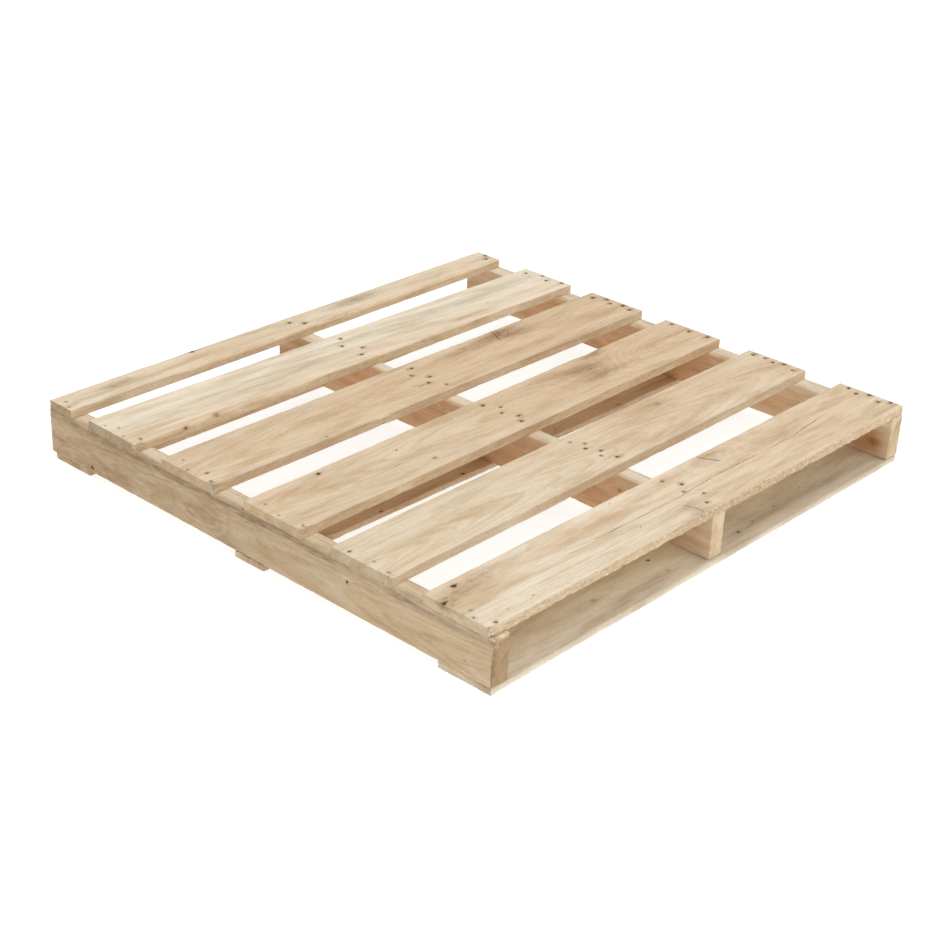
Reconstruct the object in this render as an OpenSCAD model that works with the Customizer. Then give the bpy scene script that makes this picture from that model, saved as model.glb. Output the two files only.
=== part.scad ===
// Two-way-entry wooden stringer pallet: three stringers on edge, six top boards,
// three bottom boards, and the nails that hold each board to the three stringers.
//
// Millimetres. X runs along the boards, Y along the stringers from the front to the
// rear, Z up. The origin is on the floor below the middle of the pallet.
// Boards are counted from the rear, stringers from the left.

/* [Overall] */
// Length over the deck, across the stringers
deck_len = 1219.2; // [1000:0.1:1300]
// Length of the pallet along its stringers
stringer_len = 1143; // [1050:0.1:1300]

/* [Stringers] */
// Height of the stringers, which is the height of the fork openings
stringer_h = 88.9; // [80:0.1:110]
// Widths of the left, middle and right stringers
stringer_w = [41, 37, 39]; // [35:0.5:45]
// How far the outer stringers stand in from the ends of the deck
stringer_in = 2; // [0:0.5:10]
// How far the middle stringer lies to the right of centre
middle_shift = -1; // [-10:0.5:10]
// How far the front ends of the left, middle and right stringers stand in
stringer_front_in = [0, 7, 1]; // [0:0.5:12]
// How far their rear ends stand in
stringer_rear_in = [2, 0, 0]; // [0:0.5:12]

/* [Top boards] */
// Thickness of the top boards
top_t = 19.05; // [16:0.05:22]
// Widths of top boards 1 to 3
top_w_rear = [68, 138, 145]; // [60:1:150]
// Widths of top boards 4 to 6
top_w_front = [146, 145, 149]; // [60:1:150]
// How far boards 1 to 3 are nailed to the rear of an even spacing
top_shift_rear = [-1, 5, 9]; // [-15:1:15]
// How far boards 4 to 6 are nailed to the rear of an even spacing
top_shift_front = [9, 7, 4]; // [-15:1:15]
// How much further to the rear the right ends of boards 1 to 3 lie than the left ends
top_skew_rear = [2, -21, -4]; // [-25:1:25]
// How much further to the rear the right ends of boards 4 to 6 lie than the left ends
top_skew_front = [9, 9, -6]; // [-25:1:25]
// How far the left ends of boards 1 to 3 stand in
top_left_in_rear = [2, 1, 0]; // [0:0.5:6]
// How far the left ends of boards 4 to 6 stand in
top_left_in_front = [2, 1, 2]; // [0:0.5:6]
// How far the right ends of boards 1 to 3 stand in
top_right_in_rear = [4, 1, 0]; // [0:0.5:6]
// How far the right ends of boards 4 to 6 stand in
top_right_in_front = [2, 2, 2]; // [0:0.5:6]

/* [Bottom boards] */
// Thickness of the bottom boards
bottom_t = 12.7; // [10:0.1:19]
// Widths of the rear, middle and front bottom boards
bottom_w = [106, 76, 117]; // [60:1:150]
// How far the bottom boards are nailed to the rear of an even spacing
bottom_shift = [-12, -12, 0]; // [-15:1:15]
// How much further to the rear their right ends lie than their left ends
bottom_skew = [0, -12, 0]; // [-25:1:25]
// How far their left ends stand in
bottom_left_in = [3, 1, 2]; // [0:0.5:8]
// How far their right ends stand in
bottom_right_in = [6, 3, 5]; // [0:0.5:8]

/* [Nails] */
// Diameter of the shanks
shank_d = 2.8; // [2.5:0.1:3.5]
// Diameter of the flat heads
head_d = 7; // [6:0.1:8]
// Thickness of the heads
head_t = 1.2; // [0.8:0.1:2]
// Depth of the heads below the face of the board
head_sink = 0.8; // [0.2:0.1:1.5]
// Length of the points
tip_len = 5; // [3:0.5:7]
// Length of the nails in the top boards
top_nail_len = 57; // [45:1:60]
// Length of the nails in the bottom boards
bottom_nail_len = 44; // [35:1:45]
// Half width of the zigzag of nails at the left, middle and right stringers
nail_stagger = [6, 10, 5]; // [2:1:12]
// How far outwards of the outer stringers' middles the top boards are nailed
top_nail_out = 6; // [0:1:7]
// How far outwards of the outer stringers' middles the bottom boards are nailed
bottom_nail_out = 2; // [0:1:3]
// Distance of the first and last nails from the edges of the board
nail_edge = 24; // [18:1:28]
// How far each zigzag is moved towards the front of the board
nail_forward = [11, 0, 0]; // [0:1:12]
// Most that a nail wanders from its place in the zigzag
nail_wander = 3; // [0:0.5:4]
// Nails in top board 1 at the left, middle and right stringers
top_1_nails = [2, 2, 2]; // [2:1:3]
// Nails in top board 2
top_2_nails = [4, 4, 4]; // [2:1:6]
// Nails in top board 3
top_3_nails = [4, 5, 5]; // [2:1:6]
// Nails in top board 4
top_4_nails = [3, 5, 3]; // [2:1:6]
// Nails in top board 5
top_5_nails = [3, 6, 5]; // [2:1:6]
// Nails in top board 6
top_6_nails = [5, 5, 5]; // [2:1:6]
// Nails in the rear bottom board at the left, middle and right stringers
bottom_1_nails = [3, 3, 3]; // [2:1:4]
// Nails in the middle bottom board
bottom_2_nails = [2, 2, 2]; // [2:1:3]
// Nails in the front bottom board
bottom_3_nails = [3, 3, 3]; // [2:1:4]

/* [Hidden] */
$fn = 24;

STRINGER_COLOR = [0.72, 0.60, 0.46];
TOP_COLOR = [0.87, 0.79, 0.66];
BOTTOM_COLOR = [0.76, 0.65, 0.51];
NAIL_COLOR = [0.36, 0.33, 0.30];

// Angles by which a nail's wander changes from board, stringer and nail to the next
WANDER_STEPS = [97, 151, 211];
// Most of a board's width by which its zigzags are moved forwards
MAX_FORWARD = 1 / 12;

LEFT_X = -deck_len / 2;
FRONT_Y = -stringer_len / 2;
DECK_Z = bottom_t + stringer_h;
DECK_TOP_Z = DECK_Z + top_t;

// Middles of the stringers along X
stringer_x = [
    LEFT_X + stringer_in + stringer_w[0] / 2,
    middle_shift,
    -LEFT_X - stringer_in - stringer_w[2] / 2
];

top_w = concat(top_w_rear, top_w_front);
top_shift = concat(top_shift_rear, top_shift_front);
top_skew = concat(top_skew_rear, top_skew_front);
top_left_in = concat(top_left_in_rear, top_left_in_front);
top_right_in = concat(top_right_in_rear, top_right_in_front);
top_nails = [top_1_nails, top_2_nails, top_3_nails, top_4_nails, top_5_nails, top_6_nails];
bottom_nails = [bottom_1_nails, bottom_2_nails, bottom_3_nails];

// Sum of the first count values of a list
function sum_of(list, count) = count < 1 ? 0 : list[count - 1] + sum_of(list, count - 1);

// Gap between boards of the given widths when they are spaced evenly, the first and
// the last flush with the ends of the pallet
function even_gap(widths) = (stringer_len - sum_of(widths, len(widths))) / (len(widths) - 1);

// Middle of a board along Y: its evenly spaced place and its shift
function board_y(widths, shifts, i) =
    -FRONT_Y - sum_of(widths, i) - i * even_gap(widths) - widths[i] / 2 + shifts[i];

top_y = [for (i = [0 : len(top_w) - 1]) board_y(top_w, top_shift, i)];
bottom_y = [for (i = [0 : len(bottom_w) - 1]) board_y(bottom_w, bottom_shift, i)];

// How far the middle line of a skewed board lies to the rear at a place along X
function skew_at(skew, x) = skew * x / deck_len;

// Offset between -nail_wander and +nail_wander that is different for each nail
function wander(board, stringer, nail) =
    nail_wander * sin(WANDER_STEPS * [board, stringer, nail]);

// Places of the nails that join one board to one stringer: a zigzag along the stringer
function nail_places(board, stringer, count, w, y, skew, nail_out) = [
    for (nail = [0 : count - 1])
        let (
            side = (nail + board + stringer) % 2 == 0 ? -1 : 1,
            row_x = stringer_x[stringer] + (stringer - 1) * nail_out,
            x = row_x + side * nail_stagger[stringer] + wander(board, stringer, nail),
            row_y = y + skew_at(skew, x) - min(nail_forward[stringer], w * MAX_FORWARD),
            along = (nail / (count - 1) - 0.5) * (w - 2 * nail_edge)
        )
        [x, row_y + along + wander(stringer, board, nail + 1)]
];

// The same for the joint of top board i to stringer s
function top_nail_places(i, s) =
    nail_places(i, s, top_nails[i][s], top_w[i], top_y[i], top_skew[i], top_nail_out);

// The same for the joint of bottom board i to stringer s
function bottom_nail_places(i, s) =
    nail_places(i, s, bottom_nails[i][s], bottom_w[i], bottom_y[i], bottom_skew[i], bottom_nail_out);

// Nail, point down, with the top of its head on z = 0
module nail(nail_len) {
    translate([0, 0, -head_t])
        cylinder(d = head_d, h = head_t);
    translate([0, 0, tip_len - nail_len])
        cylinder(d = shank_d, h = nail_len - tip_len - head_t);
    translate([0, 0, -nail_len])
        cylinder(d1 = 0, d2 = shank_d, h = tip_len);
}

// What a driven nail takes out of the wood: its own shape and the dent over its head
module nail_hole(nail_len) {
    nail(nail_len);
    cylinder(d = head_d, h = 2 * head_sink);
}

// Puts its children at the nails of one top board, in the frame of the nail
module at_top_nails(i, stringers = [0 : 2]) {
    for (s = stringers)
        for (place = top_nail_places(i, s))
            translate([place[0], place[1], DECK_TOP_Z - head_sink])
                children();
}

// Puts its children at the nails of one bottom board, which are driven upwards
module at_bottom_nails(i, stringers = [0 : 2]) {
    for (s = stringers)
        for (place = bottom_nail_places(i, s))
            translate([place[0], place[1], head_sink])
                rotate([180, 0, 0])
                    children();
}

// Board across the stringers, skewed and with its ends standing in
module board(w, t, y, skew, left_in, right_in) {
    x0 = LEFT_X + left_in;
    x1 = -LEFT_X - right_in;
    y0 = y + skew_at(skew, x0);
    y1 = y + skew_at(skew, x1);
    linear_extrude(t)
        polygon([[x0, y0 - w / 2], [x1, y1 - w / 2], [x1, y1 + w / 2], [x0, y0 + w / 2]]);
}

module top_board(i) {
    color(TOP_COLOR)
        difference() {
            translate([0, 0, DECK_Z])
                board(top_w[i], top_t, top_y[i], top_skew[i], top_left_in[i], top_right_in[i]);
            at_top_nails(i)
                nail_hole(top_nail_len);
        }
}

module bottom_board(i) {
    color(BOTTOM_COLOR)
        difference() {
            board(bottom_w[i], bottom_t, bottom_y[i], bottom_skew[i], bottom_left_in[i], bottom_right_in[i]);
            at_bottom_nails(i)
                nail_hole(bottom_nail_len);
        }
}

// Stringer on edge, with the holes of the nails that were driven into it
module stringer(s) {
    stringer_y = FRONT_Y + stringer_front_in[s];
    own_len = stringer_len - stringer_front_in[s] - stringer_rear_in[s];
    color(STRINGER_COLOR)
        difference() {
            translate([stringer_x[s] - stringer_w[s] / 2, stringer_y, bottom_t])
                cube([stringer_w[s], own_len, stringer_h]);
            for (i = [0 : len(top_w) - 1])
                at_top_nails(i, [s])
                    nail(top_nail_len);
            for (i = [0 : len(bottom_w) - 1])
                at_bottom_nails(i, [s])
                    nail(bottom_nail_len);
        }
}

module top_board_nails(i) {
    color(NAIL_COLOR)
        at_top_nails(i)
            nail(top_nail_len);
}

module bottom_board_nails(i) {
    color(NAIL_COLOR)
        at_bottom_nails(i)
            nail(bottom_nail_len);
}

stringer(0);  // left_stringer
stringer(1);  // middle_stringer
stringer(2);  // right_stringer
top_board(0);  // top_board_1
top_board(1);  // top_board_2
top_board(2);  // top_board_3
top_board(3);  // top_board_4
top_board(4);  // top_board_5
top_board(5);  // top_board_6
bottom_board(0);  // bottom_board_1
bottom_board(1);  // bottom_board_2
bottom_board(2);  // bottom_board_3
top_board_nails(0);  // top_board_1_nails
top_board_nails(1);  // top_board_2_nails
top_board_nails(2);  // top_board_3_nails
top_board_nails(3);  // top_board_4_nails
top_board_nails(4);  // top_board_5_nails
top_board_nails(5);  // top_board_6_nails
bottom_board_nails(0);  // bottom_board_1_nails
bottom_board_nails(1);  // bottom_board_2_nails
bottom_board_nails(2);  // bottom_board_3_nails
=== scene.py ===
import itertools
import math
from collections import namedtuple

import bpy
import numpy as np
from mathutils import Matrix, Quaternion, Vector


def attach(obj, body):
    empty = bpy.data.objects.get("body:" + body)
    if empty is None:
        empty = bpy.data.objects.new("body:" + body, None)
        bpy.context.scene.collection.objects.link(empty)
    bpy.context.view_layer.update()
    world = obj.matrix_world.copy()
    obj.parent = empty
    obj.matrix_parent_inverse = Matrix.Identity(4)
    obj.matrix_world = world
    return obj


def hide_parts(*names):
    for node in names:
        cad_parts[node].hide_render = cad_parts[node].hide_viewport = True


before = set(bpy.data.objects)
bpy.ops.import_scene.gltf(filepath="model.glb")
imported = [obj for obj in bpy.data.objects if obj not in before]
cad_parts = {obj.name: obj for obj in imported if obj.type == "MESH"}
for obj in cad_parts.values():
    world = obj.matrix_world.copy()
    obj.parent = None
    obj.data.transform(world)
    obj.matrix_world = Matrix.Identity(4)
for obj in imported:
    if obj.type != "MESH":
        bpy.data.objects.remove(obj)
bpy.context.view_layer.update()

# The looks of a two-way-entry wooden stringer pallet.
#
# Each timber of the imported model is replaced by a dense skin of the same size, whose edges are worn, chipped,
# splintered and waney, and whose faces carry cracks, dents and sunk nail heads. Each nail is replaced by a
# turned one.
#
# A timber has its own axes, in millimetres: along the grain, across its wide face, and through its thickness.
# Boards are measured from their left end and front edge, upwards. Stringers are measured from their front
# end and lower edge, from their left face to their right face. So a stringer's wide face stands upright.

BODY = "root"
MM = 0.001
ALONG, ACROSS, THROUGH = 0, 1, 2

# ---- Colours ----


def rgb(red, green, blue):
    """Linear colour with alpha, from the usual 0 to 255 screen values."""
    return tuple(
        (c / 12.92 if c <= 0.04045 else ((c + 0.055) / 1.055) ** 2.4)
        for c in (red / 255, green / 255, blue / 255)
    ) + (1.0,)


CREAM = rgb(243, 233, 213)
PALE = rgb(234, 221, 198)
SAND = rgb(230, 212, 186)
TAN = rgb(221, 200, 170)
HONEY = rgb(214, 188, 155)
WORN_TAN = rgb(215, 194, 164)
WORN_HONEY = rgb(207, 182, 149)
KNOT_BROWN = rgb(128, 90, 58)
KNOT_RIM = rgb(74, 49, 31)
CRACK_DARK = rgb(58, 34, 14)
RAW_EDGE = rgb(241, 223, 194)
STEEL_DARK = rgb(56, 38, 20)
STEEL_WORN = rgb(110, 86, 58)
STEEL_PALE = rgb(176, 158, 134)
RUST = rgb(98, 64, 42)
FLOOR_PALE = rgb(171, 174, 178)
FLOOR_LIGHT = rgb(250, 250, 249)

# ---- What each timber looks like ----

Knot = namedtuple("Knot", "along across radius dark")
Patch = namedtuple("Patch", "along across length width strength")
Crack = namedtuple("Crack", "path width depth")
Wane = namedtuple("Wane", "side start end width drop")
Chip = namedtuple("Chip", "side along length bite")
Scar = namedtuple("Scar", "path width")
Fray = namedtuple("Fray", "length depth hang count")
LOOK_FIELDS = (
    "pale deep ring pith lean torn fuzz side warm dirt",
    "knots stains warms cracks wanes chips scars frays",
)
SIDE_TINT = (0.86, 0.81, 0.75, 1)
MID_SIDE = (0.79, 0.70, 0.60, 1)
# The lower front board's front edge, made paler partly to win back the painted shade that spreads onto it from
# its top.
FRESH_SIDE = (1.11, 1.12, 1.15, 1)
WARM_TINT = (0.85, 0.67, 0.52, 1)
# Painted warm shade: a reddish darkening that stands in for the shade and bounced light on the inner faces
# under the deck.
PAINTED_WARM_SHADE = (0.78, 0.56, 0.42, 1)
# Painted shade: a grey darkening for the front strip of the lower front board's top, which evens out the light
# that falls in under the top board.
PAINTED_SHADE_GREY = (0.62, 0.60, 0.59, 1)
DARK_SIDE = (0.70, 0.60, 0.48, 1)
PALE_SIDE = (1.03, 1.08, 1.14, 1)
BLEACHED_SIDE = (1.17, 1.28, 1.44, 1)
NO_MARKS = ((),) * len(LOOK_FIELDS[1].split())
Look = namedtuple("Look", " ".join(LOOK_FIELDS), defaults=(
    (1, 1), 0.3, SIDE_TINT, WARM_TINT, (0.12, 0.12), *NO_MARKS
))
FRONT, REAR = 0, 1

# pale, deep, ring: the two colours of the wood, and how strongly its growth rings show
# pith: where the middle of the log lies, across and through, at the timber's near end
# lean: how far that middle moves across and through, per length along
# torn: how rough the front and the rear long edges are
# fuzz: how far the front edge's torn fibres reach in from it
# side: tint of the long sides, which were cut at another time than the faces
# warm: tint of the tone patches; on the faces under the deck and on the lower front board's top, these patches
# are painted shade
# dirt: how dirty the near and the far end are
# frays: splinters at the near end of a board's front edge or a stringer's upper edge: how far they run,
#   how deep, how low they hang, and how many
# Marks lie on a board's top or a stringer's left face, and soak in a little. A patch at the near end
# goes right through.
LOOKS = {}
LOOKS["top_board_1"] = Look(
    PALE, SAND, ring=0.3, pith=(-30, -55), lean=(0.02, 0.03), dirt=(0.8, 0.1),
    knots=(Knot(128, 36, 6, 0.35), Knot(346, 64, 5, 0.7), Knot(172, 48, 4, 0.3)),
    stains=(Patch(140, 40, 50, 12, 0.9), Patch(785, 44, 75, 15, 1.0), Patch(350, 66, 30, 6, 0.6),
            Patch(520, 60, 60, 8, 0.3)),
    warms=(Patch(760, 0, 560, 7, 0.7), Patch(400, 34, 130, 22, 0.45), Patch(0, 34, 1.5, 60, 0.35)),
    wanes=(Wane(FRONT, 240, 1219, 9, 8),),
)
LOOKS["top_board_2"] = Look(
    CREAM, PALE, ring=0.12, pith=(250, -30), lean=(-0.03, 0.0), side=DARK_SIDE, dirt=(0.78, 0.1),
    knots=(Knot(121, 1, 5.5, 1.0), Knot(196, 4, 4.5, 0.9), Knot(881, 27, 3, 0.4)),
    stains=(Patch(840, 92, 330, 15, 0.55), Patch(420, 52, 300, 13, 0.42), Patch(885, 26, 40, 8, 0.35),
            Patch(1120, 106, 90, 12, 0.3)),
    warms=(Patch(470, 26, 760, 42, 0.4), Patch(121, 4, 30, 9, 0.5), Patch(196, 5, 26, 8, 0.6),
           Patch(0, 60, 1.5, 110, 0.35)),
    cracks=(Crack(((0, 74), (60, 70), (130, 69)), 0.6, 1.2),),
    wanes=(Wane(FRONT, -40, 470, 19, 11), Wane(FRONT, 470, 930, 5, 4)),
    chips=(Chip(FRONT, 1000, 75, 2.5),),
    frays=(Fray(26, 5, 3, 14),),
)
LOOKS["top_board_3"] = Look(
    SAND, TAN, ring=0.32, pith=(55, -70), lean=(0.03, 0.05), dirt=(0.3, 0.1),
    knots=(Knot(882, 132, 17, 0.28), Knot(770, 118, 5, 0.3), Knot(610, 122, 3, 0.5)),
    stains=(Patch(890, 120, 60, 24, 0.85), Patch(790, 116, 90, 12, 0.65), Patch(300, 120, 120, 16, 0.3),
            Patch(960, 104, 60, 14, 0.35)),
    warms=(Patch(760, 70, 640, 90, 0.4), Patch(890, 122, 60, 26, 0.35)),
    chips=(Chip(FRONT, 0, 34, 7), Chip(FRONT, 420, 30, 2.5)),
    cracks=(Crack(((0, 15), (45, 17), (95, 18)), 0.7, 1.6),),
    frays=(Fray(34, 9, 13, 34),),
    scars=(Scar(((884, 144), (879, 130), (868, 112), (866, 103)), 1.5),
           Scar(((893, 141), (889, 129), (881, 117)), 1.1),
           Scar(((915, 126), (902, 112), (884, 104)), 0.8),
           Scar(((559, 62), (571, 55), (580, 53)), 1.2), Scar(((566, 45), (583, 50)), 1.0)),
)
LOOKS["top_board_4"] = Look(
    SAND, TAN, ring=0.32, pith=(90, -85), lean=(-0.02, 0.06), side=MID_SIDE,
    knots=(Knot(165, 131, 4.5, 0.8), Knot(364, 32, 4, 0.6), Knot(893, 78, 22, 0.18)),
    stains=(Patch(890, 80, 56, 40, 0.6), Patch(850, 96, 70, 16, 0.5), Patch(945, 136, 36, 12, 1.1),
            Patch(760, 112, 90, 15, 0.3), Patch(160, 130, 40, 9, 0.5)),
    warms=(Patch(930, 90, 420, 90, 0.5), Patch(70, 110, 90, 30, 0.35)),
    cracks=(Crack(((1120, 82), (1170, 83), (1219, 82)), 0.9, 5.0),
            Crack(((180, 58), (260, 55), (330, 60)), 0.6, 1.2)),
    wanes=(Wane(REAR, 895, 985, 12, 10),),
    chips=(Chip(FRONT, 0, 46, 6), Chip(FRONT, 250, 26, 2.0)),
    frays=(Fray(46, 9, 4, 40), Fray(30, 40, 5, 12)),
)
LOOKS["top_board_5"] = Look(
    PALE, SAND, ring=0.42, pith=(48, -26), lean=(0.0, -0.05), dirt=(0.3, 0.1),
    knots=(Knot(856, 112, 6, 0.45), Knot(640, 96, 3, 0.35)),
    stains=(Patch(850, 110, 50, 14, 0.5), Patch(700, 66, 120, 9, 0.35), Patch(960, 40, 100, 12, 0.25)),
    warms=(Patch(900, 80, 520, 90, 0.35), Patch(130, 20, 120, 18, 0.3)),
    chips=(Chip(FRONT, 0, 28, 5), Chip(FRONT, 300, 40, 2.0)),
    frays=(Fray(30, 7, 5, 22),),
)
LOOKS["top_board_6"] = Look(
    CREAM, SAND, ring=0.3, pith=(110, -120), lean=(0.03, 0.04), torn=(1.4, 1.2), fuzz=2.2,
    side=DARK_SIDE,
    knots=(Knot(56, 131, 4.2, 0.85), Knot(5, 104, 4.2, 0.7), Knot(118, 112, 3, 0.35),
           Knot(742, 126, 12, 0.2)),
    stains=(Patch(60, 116, 80, 20, 0.6), Patch(150, 128, 90, 12, 0.35), Patch(738, 124, 55, 22, 0.45),
            Patch(560, 22, 26, 32, 0.6), Patch(900, 100, 110, 16, 0.4), Patch(10, 104, 22, 16, 0.6)),
    warms=(Patch(70, 118, 110, 28, 0.6), Patch(900, 80, 460, 100, 0.5), Patch(330, 110, 140, 30, 0.25)),
    cracks=(Crack(((265, 83), (357, 72), (574, 69), (664, 75), (927, 74), (1097, 89)), 0.9, 1.8),
            Crack(((0, 60), (50, 62), (110, 61)), 0.6, 1.0)),
    scars=(Scar(((726, 144), (731, 128), (745, 106)), 1.6),
           Scar(((553, 46), (562, 24), (560, 6)), 1.0),
           Scar(((46, 137), (57, 132), (72, 134)), 0.9), Scar(((0, 99), (9, 105), (17, 104)), 1.1)),
    chips=(Chip(FRONT, 0, 30, 5),),
    frays=(Fray(34, 8, 18, 40),),
)
LOOKS["bottom_board_1"] = Look(
    SAND, HONEY, ring=0.4, pith=(40, -60), lean=(0.02, 0.03),
    stains=(Patch(40, 50, 90, 50, 0.4),), warms=(Patch(60, 60, 200, 60, 0.5),),
)
# Its pale colours are painted light against the shade under the deck, and its tone patch along the front of its
# top is painted warm shade.
LOOKS["bottom_board_2"] = Look(
    CREAM, PALE, ring=0.35, pith=(120, -40), lean=(0.0, 0.04), warm=PAINTED_WARM_SHADE,
    knots=(Knot(513, 8, 4, 0.8), Knot(291, 5, 3.5, 0.7), Knot(983, 7, 3, 0.6)),
    stains=(Patch(30, 40, 80, 40, 0.35),), warms=(Patch(600, 5, 1300, 50, 0.75),),
    cracks=(Crack(((0, 40), (70, 42), (160, 40)), 0.9, 3.0),),
)
# Its tone patches are painted grey shade along the front strip of its top; its pale colours and bright front
# edge make up for that shade, so the top looks evenly lit under the top board.
LOOKS["bottom_board_3"] = Look(
    CREAM, PALE, ring=0.25, pith=(60, -90), lean=(0.02, 0.03), torn=(0.5, 1), side=FRESH_SIDE,
    warm=PAINTED_SHADE_GREY,
    knots=(Knot(508, 82, 3, 0.9), Knot(506, 37, 2.5, 0.8), Knot(714, 32, 3, 0.9), Knot(330, 60, 5, 0.5)),
    stains=(Patch(200, 60, 200, 16, 0.15), Patch(330, 58, 40, 8, 0.35), Patch(960, 52, 300, 34, 0.3)),
    warms=(Patch(600, 2, 1400, 44, 1.0), Patch(980, 30, 330, 60, 0.35)),
)
LOOKS["left_stringer"] = Look(
    WORN_TAN, WORN_HONEY, ring=0.5, pith=(30, 60), lean=(0.0, 0.03), side=BLEACHED_SIDE,
    dirt=(0.6, 0.3),
    knots=(Knot(326, 56, 2.4, 1.0), Knot(1016, 10, 3.2, 0.9), Knot(694, 34, 9, 0.1),
           Knot(1050, 14, 10, 0.14)),
    # The long dark band just under the top edge of its left face is partly stain and partly painted shade under
    # the boards' ends.
    stains=(Patch(620, 85, 800, 12, 0.7), Patch(192, 89, 34, 9, 0.8), Patch(1045, 10, 60, 16, 0.3),
            Patch(560, 76, 30, 12, 0.6), Patch(110, 78, 120, 9, 0.5), Patch(1040, 50, 260, 90, 0.35),
            Patch(620, 50, 330, 90, 0.28), Patch(390, 84, 40, 10, 0.4), Patch(1.8, 36, 1.2, 34, 1.2),
            Patch(880, 45, 480, 120, 0.22)),
    warms=(Patch(390, 6, 60, 16, 0.3), Patch(1010, 12, 70, 18, 0.3)),
    cracks=(Crack(((0, 31), (60, 20), (112, 9)), 0.6, 1.1),),
    wanes=(Wane(REAR, -90, 230, 11, 5),),
    chips=(Chip(REAR, 0, 24, 4),),
    frays=(Fray(34, 9, 4, 30),),
)
# Its tone patches are painted warm shade on its left face, under the deck.
LOOKS["middle_stringer"] = Look(
    PALE, SAND, ring=0.3, pith=(60, -40), lean=(0.02, 0.02), side=PALE_SIDE, warm=PAINTED_WARM_SHADE,
    dirt=(0, 0.1),
    knots=(Knot(210, 60, 4, 0.6), Knot(820, 30, 6, 0.6)),
    stains=(Patch(400, 70, 120, 12, 0.3),),
    warms=(Patch(640, 40, 580, 80, 1.5), Patch(190, 40, 120, 80, 0.5)),
)
# Its tone patches are painted warm shade on its left face, under the deck.
LOOKS["right_stringer"] = Look(
    PALE, TAN, ring=0.35, pith=(20, 80), lean=(0.0, 0.03), side=PALE_SIDE, warm=PAINTED_WARM_SHADE,
    knots=(Knot(36, 29, 12, 0.48), Knot(620, 40, 5, 0.6)),
    stains=(Patch(36, 29, 30, 14, 0.5),),
    warms=(Patch(640, 40, 560, 70, 1.2), Patch(60, 30, 60, 30, 0.8)),
    wanes=(Wane(REAR, 80, 900, 9, 8),),
)
WOOD_NODES = list(LOOKS)
# Each use of chance on a timber adds a small number of its own to that timber's seed.
SEED_STEP = 100
SEED_OF = {name: SEED_STEP * (place + 1) for place, name in enumerate(WOOD_NODES)}

# ---- Noise ----

TABLE_SIDE = 61


def swells(points, seed, size, octaves=2):
    """Smooth noise from about -1 to 1 at points, with one swell per size along each axis."""
    table = np.random.default_rng(seed).uniform(-1, 1, (TABLE_SIDE,) * 3)
    total, weight, scaled = 0.0, 1.0, points / np.asarray(size, float)
    for _ in range(octaves):
        cell = np.floor(scaled).astype(int)
        t = scaled - cell
        t = t * t * (3 - 2 * t)
        for corner in itertools.product((0, 1), repeat=3):
            index = (cell + corner) % TABLE_SIDE
            share = np.prod(np.where(corner, t, 1 - t), axis=1)
            total = total + weight * share * table[index[:, 0], index[:, 1], index[:, 2]]
        scaled, weight = scaled * 2.03 + 7.7, weight * 0.5
    return total


def ripples(points, seed, size, depth=1.0):
    """The same noise raised to run from 0 up, so that wear only ever takes wood away, times a depth."""
    return depth * np.maximum(0, 1 + swells(points, seed, size))


def swells_along(u, seed, size):
    """The same noise along one axis only."""
    points = np.zeros((len(u), 3))
    points[:, 0] = u
    return swells(points, seed, (size, 1, 1))


def bump_at(distance):
    """1 at distance 0, falling smoothly to 0 at distance 1."""
    inside = np.clip(1 - np.abs(distance), 0, 1)
    return inside * inside * (3 - 2 * inside)


# ---- The skin of a timber ----

# Distances between the lattice's lines, on open wood on each axis, at an edge and at marks, and how fast
# they grow away from those
STEPS = {"board": (5.0, 2.2, 2.4), "stringer": (4.5, 2.4, 2.4), "torn": (2.6, 2.4, 1.7)}
EDGE_STEP = 0.35
NAIL_STEP = 1.0
SCAR_STEP = 1.3
CRACK_STEP = 0.4
GROWTH = 0.35
LINE_SAMPLES = 12000
NAIL_MARGIN = 5
SCAR_MARGIN = 3
JOINT_SPACING = 300
FAR_AWAY = 1e6


def graded_lines(length, step, spots=()):
    """Places from 0 to length, closer together at both ends and at each spot: (place, reach, step there)."""
    x = np.linspace(0, length, LINE_SAMPLES)
    gap = np.minimum(step, EDGE_STEP + GROWTH * np.minimum(x, length - x))
    for place, reach, fine in spots:
        gap = np.minimum(gap, fine + GROWTH * np.maximum(np.abs(x - place) - reach, 0))
    count = np.concatenate(([0], np.cumsum(np.diff(x) * 2 / (gap[1:] + gap[:-1]))))
    total = math.ceil(count[-1])
    return np.interp(np.linspace(0, count[-1], total + 1), count, x)


def spot_over(places, margin, fine):
    return (min(places) + max(places)) / 2, (max(places) - min(places)) / 2 + margin, fine


def spots_along(look, nails):
    """Where the lattice is finer along a timber: at each joint's nails and at each scar."""
    joints = {}
    for along, _ in nails:
        joints.setdefault(round(along / JOINT_SPACING), []).append(along)
    spots = [spot_over(joints[joint], NAIL_MARGIN, NAIL_STEP) for joint in sorted(joints)]
    spots += [spot_over([along for along, _ in scar.path], SCAR_MARGIN, SCAR_STEP) for scar in look.scars]
    return spots


def lattice_skin(lines):
    """Corners and outward quads of the skin of a box-shaped lattice with these lines on its three axes."""
    shape = tuple(len(line) for line in lines)
    skin = np.ones(shape, bool)
    skin[1:-1, 1:-1, 1:-1] = False
    number = np.full(shape, -1)
    number[skin] = np.arange(skin.sum())
    corners = np.stack(np.meshgrid(*lines, indexing="ij"), -1)[skin]
    quads = []
    for axis, end in itertools.product((ALONG, ACROSS, THROUGH), (0, -1)):
        side = np.take(number, end, axis)
        quad = np.stack((side[:-1, :-1], side[1:, :-1], side[1:, 1:], side[:-1, 1:]), -1).reshape(-1, 4)
        outward = (end == -1) != (axis == ACROSS)
        quads.append(quad if outward else quad[:, ::-1])
    return corners, np.concatenate(quads)


def crack_middle(crack):
    return float(np.mean([across for _, across in crack.path]))


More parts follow.
